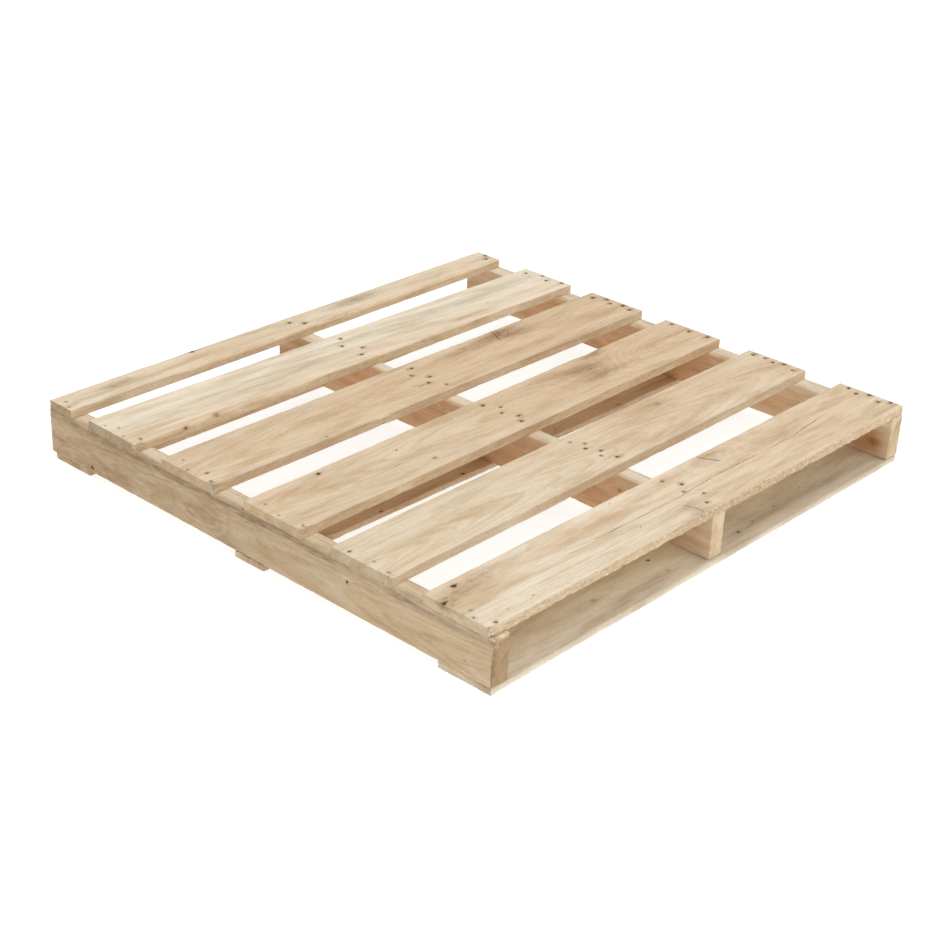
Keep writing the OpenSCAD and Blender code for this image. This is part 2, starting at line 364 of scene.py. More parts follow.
CRACK_WANDER = 0.7
CRACK_WANDER_SIZE = 23
CRACK_PULL = 20
CRACK_ROOM = 6
CRACK_RUN_IN = 60
CRACK_BREAKS = 26


def crack_across(crack, u):
    """Where a crack runs across the timber, at each place along it."""
    along, across = zip(*crack.path)
    wander = CRACK_WANDER * swells_along(u, round(across[0]), CRACK_WANDER_SIZE)
    return np.interp(u, along, across) + wander


def follow_cracks(p, size, look):
    """Slides the rows of the lattice sideways so that they run along each crack."""
    room = np.clip(np.minimum(p[:, 1], size[1] - p[:, 1]) / CRACK_ROOM, 0, 1)
    for crack in look.cracks:
        middle = crack_middle(crack)
        pull = np.exp(-(((p[:, 1] - middle) / CRACK_PULL) ** 2)) * room
        p[:, 1] += (crack_across(crack, p[:, 0]) - middle) * pull
    return p


# Sawn sides and ends: the size of each roughness on the three axes, and how deep it goes
WANDER = (170, FAR_AWAY, FAR_AWAY), 0.45
TEETH = (9, FAR_AWAY, 5), 0.2
SPLITS = (FAR_AWAY, 3.5, 12), 0.4
FINE_SPLITS = (FAR_AWAY, 1.5, 5), 0.35
TEAR_SIZE, TEAR, TEAR_FROM = (24, FAR_AWAY, 11), 3.2, 0.6
FUZZ_SIZE, FUZZ_DEPTH = (6, FAR_AWAY, 3.4), 0.5
CHIP_LAYERS = (30, FAR_AWAY, 3)
CHIP_REACH = 1.3
CHIP_SPREAD = 2.6
CHIP_GROOVE_SIZE, CHIP_GROOVE = (20, 2.0, 3.0), 0.45


def side_insets(p, size, look, seed):
    """How far the sides and ends stand in: a sawn edge wanders, is torn here and there, and is chipped."""
    move = np.zeros_like(p)
    share = p[:, 1] / size[1]
    for side, weight in ((FRONT, 1 - share), (REAR, -share)):
        inset = ripples(p, seed + side, *WANDER)
        inset += ripples(p, seed + 2 + side, *TEETH)
        tear = np.maximum(0, swells(p, seed + 4 + side, TEAR_SIZE, 3) - TEAR_FROM)
        inset += tear * TEAR * look.torn[side]
        if side == FRONT:
            inset += FUZZ_DEPTH * look.fuzz * ripples(p, seed + 10, FUZZ_SIZE)
        for chip in look.chips:
            if chip.side == side:
                layers = np.clip(0.6 + 0.6 * swells(p, seed + 6, CHIP_LAYERS), 0.05, 1)
                inset += chip.bite * bump_at((p[:, 0] - chip.along) / chip.length) * layers
        move[:, 1] += weight * inset
    reach = p[:, 0] / size[0]
    move[:, 0] = (1 - 2 * reach) * (ripples(p, seed + 8, *SPLITS) + ripples(p, seed + 9, *FINE_SPLITS))
    return move


def chipped(p, size, look, seed):
    """0 to 1 where a chip has torn the face beside an edge into grooves, and how deep the grooves go."""
    near, depth = np.zeros(len(p)), np.zeros(len(p))
    for chip in look.chips:
        off = p[:, 1] if chip.side == FRONT else size[1] - p[:, 1]
        reach = bump_at((p[:, 0] - chip.along) / (CHIP_REACH * chip.length))
        reach = reach * bump_at(off / (CHIP_SPREAD * chip.bite))
        near = np.maximum(near, reach)
        depth += CHIP_GROOVE * chip.bite * reach * ripples(p, seed + 13, CHIP_GROOVE_SIZE)
    return near, depth


# Long edges: how far they are worn, how much less beside the face without marks, how gently a wane begins,
# and the most that it takes of the width and the thickness
WORN = 0.6
UNMARKED_WEAR = 0.55
WANE_RAMP = 70
MOST_WANE = (0.45, 0.75)


def edge_radii(u, size, look, side, marked, seed):
    """How far one long edge is worn at each place along it: across, and through."""
    worn = WORN + 0.5 * np.maximum(0, swells_along(u, seed, 60))
    worn += 1.3 * look.torn[side] * np.maximum(0, swells_along(u, seed + 4, 15) - 0.5)
    worn *= 1.0 if marked else UNMARKED_WEAR
    across, through = worn.copy(), worn.copy()
    if side == FRONT:
        frayed = look.fuzz * np.maximum(0.2, 0.8 + 0.6 * swells_along(u, seed + 12, 12))
        across += frayed
        through += frayed
    for wane in look.wanes:
        if marked and wane.side == side:
            ramp = np.clip(np.minimum(u - wane.start, wane.end - u) / WANE_RAMP, 0, 1)
            ramp = ramp * ramp * (3 - 2 * ramp) * (0.85 + 0.2 * swells_along(u, seed + 8, 80))
            across += wane.width * ramp
            through += wane.drop * ramp
    return np.minimum(across, MOST_WANE[0] * size[1]), np.minimum(through, MOST_WANE[1] * size[2])


def worn_edges(p, size, look, seed, marked_level):
    """Moves that put the skin near each edge on a worn arc, the outward directions, and the wear."""
    u, v, w = p.T
    front, rear = (
        [
            edge_radii(u, size, look, side, level == marked_level, seed + 20 + 2 * side + level)
            for level in (0, 1)
        ]
        for side in (FRONT, REAR)
    )
    at_rear = v > size[1] / 2
    low = [np.where(at_rear, rear[0][part], front[0][part]) for part in (0, 1)]
    high = [np.where(at_rear, rear[1][part], front[1][part]) for part in (0, 1)]
    at_top = w > size[2] * low[1] / (low[1] + high[1])
    end = 0.7 + 0.6 * np.maximum(0, swells(p, seed + 40, (FAR_AWAY, 12, 12)))
    end *= np.where(at_top == (marked_level == 1), 1.0, UNMARKED_WEAR)
    radius = np.stack((end, np.where(at_top, high[0], low[0]), np.where(at_top, high[1], low[1])), -1)
    far = np.stack((u > size[0] / 2, at_rear, at_top), -1)
    depth = np.where(far, np.asarray(size) - p, p)
    pull = np.maximum(0, 1 - depth / radius)
    outward = pull / np.linalg.norm(pull, axis=1, keepdims=True)
    inward = np.where(pull > 0, radius * (1 - outward) - depth, 0)
    sign = np.where(far, 1.0, -1.0)
    return -sign * inward, sign * outward, 1 - np.max(outward, axis=1)


def crack_grooves(p, size, look, seed, deep):
    """Depth of the cracks, which are deepest where they reach an end of the timber."""
    depth = np.zeros(len(p))
    for crack in look.cracks:
        start, end = crack.path[0][0], crack.path[-1][0]
        from_start = FAR_AWAY if start <= 0 else p[:, 0] - start
        from_end = FAR_AWAY if end >= size[0] else end - p[:, 0]
        opening = np.clip(np.minimum(from_start, from_end) / CRACK_RUN_IN, 0, 1) ** 0.7
        opening = opening * np.clip(0.75 + 0.6 * swells_along(p[:, 0], seed + 50, CRACK_BREAKS), 0.15, 1)
        if start <= 0 or end >= size[0]:
            reach = p[:, 0] if start <= 0 else size[0] - p[:, 0]
            opening = opening * np.clip(1 - reach / abs(end - start), 0, 1) ** 0.5
        off = np.abs(p[:, 1] - crack_across(crack, p[:, 0]))
        opening = opening * np.clip(1 - deep / (3 * crack.depth), 0, 1)
        depth += crack.depth * opening * np.clip(1 - off / crack.width, 0, 1)
    return depth


def line_distance(p, path):
    """Distance along the face from each corner to a line through the points of path."""
    nearest = np.full(len(p), FAR_AWAY)
    for start, end in zip(path, path[1:]):
        start, step = np.array(start, float), np.subtract(end, start)
        t = np.clip((p[:, :2] - start) @ step / (step @ step), 0, 1)
        nearest = np.minimum(nearest, np.linalg.norm(p[:, :2] - start - t[:, None] * step, axis=1))
    return nearest


# Nail pockets: the gap round a head, the sloping wall, and the dimple round it. How thick a face counts as.
HEAD_ROOM = 0.2
POCKET_WALL = 0.9
DIMPLE = 9.0
DIMPLE_DEPTH = 0.35
MARKED_SKIN = 1


def nail_pockets(p, places, looks, head_radius, sink):
    """Depth of the hole that each nail head was driven into, with a soft dimple round it, and its shadow."""
    depth, shade = np.zeros(len(p)), np.zeros(len(p))
    for (u, v), look in zip(places, looks):
        off = np.hypot(p[:, 0] - u, p[:, 1] - v)
        hole = np.clip(1 - (off - head_radius * look.opening - HEAD_ROOM) / POCKET_WALL, 0, 1)
        depth = np.maximum(depth, (sink + look.extra) * hole + DIMPLE_DEPTH * bump_at(off / DIMPLE) ** 2)
        shade = np.maximum(shade, hole * (0.35 + 0.5 * look.dark))
    return depth, shade


def scar_grooves(p, scars, deep):
    """0 to 1 in the scars of the marked face."""
    total = np.zeros(len(p))
    for scar in scars:
        total += np.clip(1 - line_distance(p, scar.path) / scar.width, 0, 1)
    return total * (deep < MARKED_SKIN)


# Faces: the size of each unevenness on the three axes, and how deep it goes
SWELLING = (160, 38, 38), 0.22
LIFTED = (45, 3.2, 3.2), 0.14
TORN_SIZE, TORN = (9, 2.2, 2.2), 0.5
TORN_AREA, TORN_FROM = (90, 30, 30), 0.35
DENT_SIZE, DENT, DENT_FROM = (24, 14, 14), 3.0, 0.72


def face_relief(p, seed):
    """Shallow unevenness: swelling, lifted grain, torn grain and a few dents."""
    relief = ripples(p, seed + 60, *SWELLING) + ripples(p, seed + 61, *LIFTED)
    rough = np.maximum(0, swells(p, seed + 62, TORN_AREA) - TORN_FROM)
    relief += rough * TORN * ripples(p, seed + 63, TORN_SIZE)
    return relief + np.maximum(0, swells(p, seed + 64, DENT_SIZE, 1) - DENT_FROM) * DENT


# ---- Grain and marks ----

# How deep marks soak in, the shape and raggedness of knots, and how the grain bends and parts round them
SOAK = 11.0
KNOT_LENGTH = 1.25
KNOT_TAPER = 0.8
RAGGED, RAGGED_SIZE = 0.45, (7, 2.6, 2.6)
HALF_AT_RIM = 0.69
LOG_BEND, LOG_BEND_SIZE = 2.4, (330, 46, 46)
WAVE, WAVE_SIZE = 0.5, (70, 12, 12)
PARTING, PARTING_LENGTH, PARTING_REACH = 1.5, 3.2, 2.2


def patches(p, spots, deep):
    """Sum of soft-edged ovals on the timber, which fade below the face that they are on."""
    total = np.zeros(len(p))
    for spot in spots:
        off = ((p[:, 0] - spot.along) / spot.length) ** 2 + ((p[:, 1] - spot.across) / spot.width) ** 2
        soaked = 1.0 if spot.along <= 0 else np.exp(-((deep / SOAK) ** 2))
        total += spot.strength * np.exp(-(off ** 1.5)) * soaked
    return total


def knot_nearness(p, knots, deep, seed):
    """1 in the middle of a knot, 0.5 at its ragged rim and 0 well away from it, times how dark it is."""
    total = np.zeros(len(p))
    ragged = 1 + RAGGED * swells(p, seed + 72, RAGGED_SIZE)
    for knot in knots:
        off = ((p[:, 0] - knot.along) / KNOT_LENGTH) ** 2 + (p[:, 1] - knot.across) ** 2
        off = ragged * (off + (KNOT_TAPER * deep) ** 2) / knot.radius ** 2
        total = np.maximum(total, knot.dark * np.exp(-HALF_AT_RIM * off))
    return total


def ring_field(p, look, seed, deep):
    """Distance from the middle of the log, and distance round it, with the grain parting at the knots."""
    off = np.stack([p[:, 1 + i] - look.pith[i] - look.lean[i] * p[:, 0] for i in (0, 1)], -1)
    ring = np.hypot(off[:, 0], off[:, 1])
    ring += LOG_BEND * swells(p, seed + 70, LOG_BEND_SIZE) + WAVE * swells(p, seed + 71, WAVE_SIZE)
    for knot in look.knots:
        apart = ((p[:, 0] - knot.along) / PARTING_LENGTH) ** 2 + (p[:, 1] - knot.across) ** 2 + deep ** 2
        ring += PARTING * knot.radius * np.exp(-apart / (PARTING_REACH * knot.radius) ** 2)
    around = ring * np.arctan2(off[:, 0], np.abs(off[:, 1]))
    return ring, around


def chance_knots(size, seed, count, largest):
    """A few small knots at random, as every sawn face has."""
    rng = np.random.default_rng(seed + 80)
    low = (30, 6, 1.2, 0.3)
    high = (size[0] - 30, size[1] - 6, largest, 0.8)
    return tuple(Knot(*map(rng.uniform, low, high)) for _ in range(count))


def chance_stains(size, seed, count):
    """A few long smudges at random."""
    rng = np.random.default_rng(seed + 81)
    low, high = (20, 0, 30, 5, 0.15), (size[0], size[1], 220, 18, 0.5)
    return tuple(Patch(*map(rng.uniform, low, high)) for _ in range(count))


# ---- Where the timbers and nails are ----


def node_corners(name):
    """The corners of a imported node's mesh, in millimetres."""
    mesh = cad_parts[name].data
    corners = np.empty(3 * len(mesh.vertices))
    mesh.vertices.foreach_get("co", corners)
    return corners.reshape(-1, 3) / MM


Stick = namedtuple("Stick", "size corner lean upright")


def stick_of(name):
    """Reads a timber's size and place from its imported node. A board may lie slightly askew."""
    corners = node_corners(name)
    low, high = corners.min(axis=0), corners.max(axis=0)
    if name.endswith("stringer"):
        size = (high[1] - low[1], high[2] - low[2], high[0] - low[0])
        return Stick(size, low, 0.0, True)
    left = corners[corners[:, 0] < low[0] + 1][:, 1]
    right = corners[corners[:, 0] > high[0] - 1][:, 1]
    size = (high[0] - low[0], left.max() - left.min(), high[2] - low[2])
    corner = np.array([low[0], left.min(), low[2]])
    return Stick(size, corner, (right.min() - left.min()) / size[0], False)


def to_world(stick, p):
    """Places in metres in the frame, from places on a timber's own axes."""
    if stick.upright:
        return (p[:, [2, 0, 1]] + stick.corner) * MM
    lean = np.zeros_like(p)
    lean[:, 1] = stick.lean * p[:, 0]
    return (p + lean + stick.corner) * MM


Nails = namedtuple("Nails", "axes head_level tip_level head_radius")
NAIL_SPAN = (-600, 0, 600)
NAIL_DARK = (0.2, 0.6, 0.9)


def nails_of(name):
    """Reads where a board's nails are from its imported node: each nail ends in one sharp tip on its axis."""
    corners = node_corners(name)
    levels = corners[:, 2].max(), corners[:, 2].min()
    head_level, tip_level = levels if name.startswith("top") else levels[::-1]
    at_tip = np.abs(corners[:, 2] - tip_level) < 0.01
    axes = np.unique(np.round(corners[at_tip][:, :2], 2), axis=0)
    off = np.linalg.norm(corners[:, None, :2] - axes[None], axis=2).min(axis=1)
    return Nails(axes, head_level, tip_level, off.max())


def nails_on(stick, nails):
    """Where a board's nails are on its own axes."""
    along = nails.axes[:, 0] - stick.corner[0]
    across = nails.axes[:, 1] - stick.corner[1] - stick.lean * along
    return list(zip(along, across))


NailLook = namedtuple("NailLook", "dark extra opening")


def nail_looks(board, nails):
    """How each nail of a board looks: pale and half closed over to the left, dark and open to the right."""
    rng = np.random.default_rng(SEED_OF[board] + 90)
    looks = []
    for x, _ in nails.axes:
        dark = np.clip(np.interp(x, NAIL_SPAN, NAIL_DARK) + rng.uniform(-0.3, 0.25), 0, 1)
        looks.append(NailLook(dark, rng.uniform(0, 0.8), 0.62 + 0.4 * dark + rng.uniform(-0.08, 0.08)))
    return looks


# ---- Splinters ----

SPLINTER_SIDES = 5
SPLINTER_RINGS = 6
SPLINTER_WIDTH = (0.6, 1.7)
SPLINTER_BEND = 0.12
SPLINTER_FLATNESS = 0.4
# How far in from the timber's box a splinter of the end face is rooted, a tip lies, and any corner stays
SPLINTER_ROOT = 1.8
SPLINTER_BED = 0.4
SPLINTER_LID = 0.1
# Shares of the splinters that lie on the end face, and of the rest that lie on the long side
END_SHARE = 0.45
SIDE_SHARE = 0.6
SPLINTER_REACH = (8, 20)


def spindle_faces(rings, sides):
    """Faces of a closed shape: one corner on its axis, then rings of corners, then one corner on the axis."""
    last = 1 + rings * sides
    faces = []
    for side in range(sides):
        after = (side + 1) % sides
        faces.append((0, 1 + side, 1 + after))
        for ring in range(rings - 1):
            here, below = 1 + ring * sides, 1 + (ring + 1) * sides
            faces.append((here + side, below + side, below + after, here + after))
        faces.append((last - sides + side, last, last - sides + after))
    return faces


def splinter(root, tip, width, rng):
    """Corners of one flat, tapering, slightly bent splinter."""
    t = np.linspace(0, 1, SPLINTER_RINGS + 1)[:-1, None]
    length = np.linalg.norm(tip - root)
    ahead = (tip - root) / length
    line = root + (tip - root) * t + rng.normal(0, SPLINTER_BEND, 3) * length * t * (1 - t)
    wide_way = np.cross(ahead, rng.normal(0, 1, 3))
    wide_way /= np.linalg.norm(wide_way)
    thin_way = np.cross(wide_way, ahead)
    angles = np.arange(SPLINTER_SIDES)[:, None] * math.tau / SPLINTER_SIDES
    ring = width * (np.cos(angles) * wide_way + SPLINTER_FLATNESS * np.sin(angles) * thin_way)
    body = line[:, None] + ((1 - t) ** 0.7)[:, None] * ring
    return np.concatenate(([root], body.reshape(-1, 3), [tip]))


def splinter_ends(fray, thick, rng):
    """Root and tip of one splinter: in from the near end, in from the long side, and down from the top."""
    down = thick * rng.uniform(0.1, 0.9)
    if rng.uniform() < END_SHARE:
        side = fray.depth * rng.uniform(0.3, 1.7)
        fall = rng.uniform(0.3, 1) * (0.5 * thick + fray.hang)
        root = (SPLINTER_ROOT, side, 0.6 * down)
        tip = (SPLINTER_BED, side - rng.uniform(-2, 5), 0.6 * down + fall)
    else:
        u, side = fray.length * rng.uniform(0.3, 1), 1 + fray.depth * rng.uniform(0.5, 1)
        root = (u, side, down)
        reach = rng.uniform(*SPLINTER_REACH)
        if rng.uniform() < SIDE_SHARE:
            tip = (u - reach, SPLINTER_BED, down + rng.uniform(-3, 3))
        else:
            tip = (u - reach, side * rng.uniform(0, 0.8), SPLINTER_BED)
    return np.array(root), np.maximum(tip, SPLINTER_BED)


def splinters_of(size, look, upright, seed):
    """Corners and faces of all the splinters of a timber, and how far along its splinter each corner lies."""
    rng = np.random.default_rng(seed + 95)
    shape_faces = spindle_faces(SPLINTER_RINGS, SPLINTER_SIDES)
    step = np.repeat(np.arange(SPLINTER_RINGS) / SPLINTER_RINGS, SPLINTER_SIDES)
    step = np.concatenate(([0], step, [1]))
    thick = 0.7 * size[2] if upright else size[2]
    corners, faces, steps = [], [], []
    for fray in look.frays:
        for _ in range(fray.count):
            root, tip = splinter_ends(fray, thick, rng)
            strand = np.maximum(splinter(root, tip, rng.uniform(*SPLINTER_WIDTH), rng), SPLINTER_LID)
            u, side, down = strand.T
            across, through = (size[1] - down, side) if upright else (side, size[2] - down)
            faces += [tuple(len(corners) * len(step) + i for i in face) for face in shape_faces]
            corners.append(np.stack((u, across, through), -1))
            steps.append(step)
    if not corners:
        return np.zeros((0, 3)), [], np.zeros(0)
    return np.concatenate(corners), faces, np.concatenate(steps)


# ---- Making pieces ----


def add_object(name, data):
    made = bpy.data.objects.new(name, data)
    bpy.context.scene.collection.objects.link(made)
    return made


def new_piece(name, corners, faces, material, node):
    """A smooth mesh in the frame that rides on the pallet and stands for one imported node."""
    mesh = bpy.data.meshes.new(name)
    mesh.from_pydata(corners.tolist(), [], faces)
    mesh.polygons.foreach_set("use_smooth", np.ones(len(mesh.polygons), bool))
    mesh.materials.append(material)
    piece = add_object(name, mesh)
    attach(piece, BODY)
    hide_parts(node)
    return piece


def store_vectors(mesh, name, columns):
    attribute = mesh.attributes.new(name, "FLOAT_VECTOR", "POINT")
    attribute.data.foreach_set("vector", np.stack(columns, -1).astype(np.float32).ravel())


def iron_stains(places, looks, seed):
    """A dark smudge round each nail, larger and darker where the nail is."""
    rng = np.random.default_rng(seed + 91)
    stains = []
    for (u, v), look in zip(places, looks):
        shift = rng.uniform(-1, 1, 2) * (5, 3) * look.dark
        reach = (4 + 10 * look.dark * rng.uniform(0.4, 1), 3 + 6 * look.dark * rng.uniform(0.4, 1))
        stains.append(Patch(u + shift[0], v + shift[1], *reach, 0.15 + look.dark))
    return stains


def timber_lines(look, stick, places):
    """The lattice's lines on the three axes of a timber, closer together at its nails, scars and cracks."""
    steps = STEPS["stringer" if stick.upright else "torn" if look.fuzz > 1 else "board"]
    rows = [(crack_middle(crack), 1.0, CRACK_STEP) for crack in look.cracks]
    return list(map(graded_lines, stick.size, steps, (spots_along(look, places), rows, ())))


# How much flatter timbers are where they lie on each other, and how deep a scar is
LAID_FLAT = 0.6
SCAR_DEPTH = 0.8
# How far painted shade darkens cracks, chips and the roots of splinters, how dark the scars are, and how widely
# wear shows as raw wood
GROOVE_SHADE = 1.2
SCAR_SHADE = 1.3
CHIP_SHADE = 0.12
ROOT_SHADE = 0.35
WEAR_SHOWN = 3.4
FRAYED_BAND = 9
# Chance marks: how many small knots on each face and the largest radius, and how many stains on the far face
NEAR_KNOTS, FAR_KNOTS, FAR_STAINS = (5, 2.6), (9, 7.0), 9
GRAIN_SHIFT = 10


def make_timber(name):
    """The skin of one timber with its splinters, and the attributes that its material reads."""
    look, seed, stick = LOOKS[name], SEED_OF[name], stick_of(name)
    size, upright = stick.size, stick.upright
    places, looks, head_radius, sink, heads_up = [], [], 0, 0, True
    if not upright:
        nails = nails_of(name + "_nails")
        heads_up = name.startswith("top")
        places, looks, head_radius = nails_on(stick, nails), nail_looks(name, nails), nails.head_radius
        sink = abs(nails.head_level - (stick.corner[2] + (size[2] if heads_up else 0)))
    flat, quads = lattice_skin(timber_lines(look, stick, places))
    head_face = np.isclose(flat[:, 2], size[2] if heads_up else 0)
    at_end = np.isclose(flat[:, 0], 0) | np.isclose(flat[:, 0], size[0])
    flat = follow_cracks(flat, size, look)
    deep = flat[:, 2] if upright else size[2] - flat[:, 2]

    rounding, outward, wear = worn_edges(flat, size, look, seed, 0 if upright else 1)
    pockets, shade = nail_pockets(flat, places, looks, head_radius, sink)
    grooves = crack_grooves(flat, size, look, seed, deep)
    scars = scar_grooves(flat, look.scars, deep)
    chips, chip_grooves = chipped(flat, size, look, seed)
    laid = np.abs(outward[:, 1]) if upright else deep > size[2] - MARKED_SKIN
    relief = face_relief(flat, seed) * (1 - LAID_FLAT * laid)
    insets = side_insets(flat, size, look, seed) * (1, 1 - LAID_FLAT if upright else 1, 1)
    depth = relief + pockets * head_face + grooves + SCAR_DEPTH * scars + chip_grooves * (deep < MARKED_SKIN)
    p = flat + rounding + insets - outward * depth[:, None]
    loose, loose_faces, loose_step = splinters_of(size, look, upright, seed)

    far = size[2] - deep
    knots = look.knots + chance_knots(size, seed, *NEAR_KNOTS)
    far_knots = chance_knots(size, seed + 1, *FAR_KNOTS)
    ring, around = ring_field(p, look._replace(knots=knots), seed, deep)
    knot = np.maximum(knot_nearness(p, knots, deep, seed), knot_nearness(p, far_knots, far, seed + 1))
    stain_and_shade = patches(p, look.stains, deep) + patches(p, chance_stains(size, seed, FAR_STAINS), far)
    stain_and_shade += patches(p, iron_stains(places, looks, seed), 0) * head_face
    # The hollow colour: painted shade in cracks, nail pockets and chips, and the dark lines of scars.
    hollow = np.clip(grooves / GROOVE_SHADE, 0, 1) + np.clip(scars * SCAR_SHADE, 0, 1) + shade * head_face
    hollow += CHIP_SHADE * np.clip(chip_grooves - 1.0, 0, 1)
    side = np.abs(outward[:, 1])
    dirt = np.where(flat[:, 0] < size[0] / 2, *look.dirt) * np.abs(outward[:, 0])
    frayed = look.fuzz * np.clip(1 - p[:, 1] / FRAYED_BAND, 0, 1)

    faces = quads.tolist() + [tuple(len(p) + i for i in face) for face in loose_faces]
    corners = to_world(stick, np.concatenate((p, loose)))
    material = wood_material(name, look)
    piece = new_piece(name + "_wood", corners, faces, material, name)
    none, root = np.zeros(len(loose)), ROOT_SHADE * (1 - loose_step) ** 3
    own_ring, own_around = ring_field(loose, look, seed, none)
    shift = GRAIN_SHIFT * seed
    raw = np.clip(wear * WEAR_SHOWN + chips, 0, 1)
    columns = {
        "grain": ((p[:, 0] + shift, ring, around), (loose[:, 0] + shift, own_ring, own_around)),
        # Knots, stains with the left stringer's partly painted shade band, and tone patches, some of which are
        # painted shade.
        "marks_and_painted_shade": ((knot, stain_and_shade, patches(p, look.warms, deep)), (none, none, none)),
        # Raw wood at worn edges and chips, painted shade in the hollows and at splinter roots, and the ends.
        "wear": ((raw, np.clip(hollow, 0, 1), at_end), (1 + none, root, none)),
        "sawn": ((side, frayed, dirt), (none, none, none)),
    }
    for attribute, (own, of_loose) in columns.items():
        store_vectors(piece.data, attribute, [np.concatenate(pair) for pair in zip(own, of_loose)])


NAIL_SIDES = 20
SHANK_RADIUS = 1.4
RING_PITCH = 2.2
RING_SHAPE = ((SHANK_RADIUS, 0.0), (1.58, 0.35), (SHANK_RADIUS, 0.5))
RINGS_FROM = 0.3
TIP_LENGTH = 5.0
DRIVEN_LENGTH = 8.0
HEAD_SHAPE = (
    (0.00, 0.14), (0.35, 0.08), (0.72, 0.02), (0.90, 0.05), (0.98, 0.22), (1.00, 0.55), (0.98, 0.92),
    (0.90, 1.14), (0.60, 1.26),
)


def nail_profile(length, head_radius):
    """Radius and depth of a ring-shank nail, from the middle of its head to its tip."""
    points = [(share * head_radius, depth) for share, depth in HEAD_SHAPE]
    points += [(SHANK_RADIUS + 0.12, 1.6), (SHANK_RADIUS, 2.4)]
    depth = RINGS_FROM * length
    while depth < length - TIP_LENGTH - 2 * RING_PITCH:
        points += [(radius, depth + share * RING_PITCH) for radius, share in RING_SHAPE]
        depth += RING_PITCH
    points.append((SHANK_RADIUS, length - TIP_LENGTH))
    points.append((0.55 * SHANK_RADIUS, length - 0.5 * TIP_LENGTH))
    points.append((0.0, length))
    return np.array(points)


def turned(profile, sides):
    """Corners and faces of a closed turned shape whose profile starts and ends on the axis, pointing down."""
    angles = np.arange(sides) * math.tau / sides
    rings = profile[1:-1]
    corners = [(0.0, 0.0, -profile[0][1])]
    corners += [(r * math.cos(a), r * math.sin(a), -depth) for r, depth in rings for a in angles]
    corners.append((0.0, 0.0, -profile[-1][1]))
    return np.array(corners), spindle_faces(len(rings), sides)


def make_nails(board, material):
    """All the nails of one board: each is a closed shape of its own, with its head a little crooked."""
    node = board + "_nails"
    nails = nails_of(node)
    length = abs(nails.head_level - nails.tip_level)
    shape, shape_faces = turned(nail_profile(length, nails.head_radius), NAIL_SIDES)
    down = 1.0 if nails.head_level > nails.tip_level else -1.0
    rng = np.random.default_rng(SEED_OF[board] + 92)
    corners, faces, ages = [], [], []
    for (x, y), look in zip(nails.axes, nail_looks(board, nails)):
        nail = shape.copy()
        ages += [(look.dark, rng.uniform(), 0.0)] * len(shape)
        tilt = rng.uniform(-0.05, 0.05, 2)
        in_head = nail[:, 2] > -HEAD_SHAPE[-1][1] - 0.05
        nail[in_head, 2] += nail[in_head, :2] @ tilt - nails.head_radius * np.abs(tilt).sum()
        nail[in_head, 2] += 0.05 * rng.uniform(-1, 0, in_head.sum())
        nail[:, 2] -= look.extra * np.clip(1 + nail[:, 2] / DRIVEN_LENGTH, 0, 1)
        nail *= (1.0, down, down)
        faces += [tuple(len(corners) * len(shape) + i for i in face) for face in shape_faces]
        corners.append(nail + (x, y, nails.head_level))
    mesh_corners = np.concatenate(corners) * MM
    piece = new_piece(node + "_steel", mesh_corners, faces, material, node)
    store_vectors(piece.data, "age", np.array(ages).T)


# ---- Materials ----


class Graph:
    """A new material, with short names for the few kinds of node that the materials here use."""

    def __init__(self, name):
        self.material = bpy.data.materials.new(name)
        self.material.use_nodes = True
        self.tree = self.material.node_tree
        self.shader = self.tree.nodes["Principled BSDF"].inputs

    def node(self, kind, inputs=(), **settings):
        node = self.tree.nodes.new("ShaderNode" + kind)
        for name, value in settings.items():
            setattr(node, name, value)
        for name, value in inputs:
            self.feed(node.inputs[name], value)
        return node.outputs

    def feed(self, socket, value):
        if isinstance(value, bpy.types.NodeSocket):
            self.tree.links.new(value, socket)
        else:
            socket.default_value = value

    def vector(self, name):
        return self.node("Attribute", attribute_name=name)["Vector"]

    def split(self, vector):
        return tuple(self.node("SeparateXYZ", [(0, vector)]))

    def math(self, operation, a, b=0.0):
        return self.node("Math", [(0, a), (1, b)], operation=operation)[0]

    def noise(self, vector, size, detail=2.0, roughness=0.5):
        """Noise from 0 to 1 with one swell per size on each axis."""
        scale = tuple(1 / s for s in size)
        scaled = self.node("VectorMath", [(0, vector), (1, scale)], operation="MULTIPLY")[0]
        inputs = [("Vector", scaled), ("Scale", 1.0), ("Detail", detail), ("Roughness", roughness)]
        return self.node("TexNoise", inputs)[0]

    def rise(self, value, start, end, top=1.0):
        """0 up to start, a smooth rise, and top from end on."""
        inputs = [("Value", value), ("From Min", start), ("From Max", end), ("To Max", top)]
        return self.node("MapRange", inputs, interpolation_type="SMOOTHSTEP")[0]

    def times(self, a, b):
        return self.math("MULTIPLY", a, b)

    def plus(self, a, b):
        return self.math("ADD", a, b)

    def tint(self, factor, below, above, blend="MULTIPLY"):
        """Lays the colour above over the colour below, by factor."""
        inputs = [(0, factor), (6, below), (7, above)]
        return self.node("Mix", inputs, data_type="RGBA", blend_type=blend, clamp_factor=True)[2]

    def bump(self, height, distance, strength=1.0):
        inputs = [("Height", height), ("Distance", distance), ("Strength", strength)]
        self.feed(self.shader["Normal"], self.node("Bump", inputs)[0])


# Sizes of the wood's patterns: along the grain, outwards from the log's middle, and round it
BROAD_STREAK = (620, 15, 34)
STREAK = (170, 3.2, 7)
FIBRE = (42, 0.8, 1.3)
PORE = (11, 0.34, 0.5)
BLOTCH = (150, 26, 34)
MOTTLE = (26, 6, 7)
SPECKLE = (3.2, 1.6, 1.8)
FUZZ = (13, 0.9, 1.2)
SAW_MARK = (2.4, 50, 50)
RING_DRIFT = (2000, 13, 600)
RING_WIDTH = 4.6

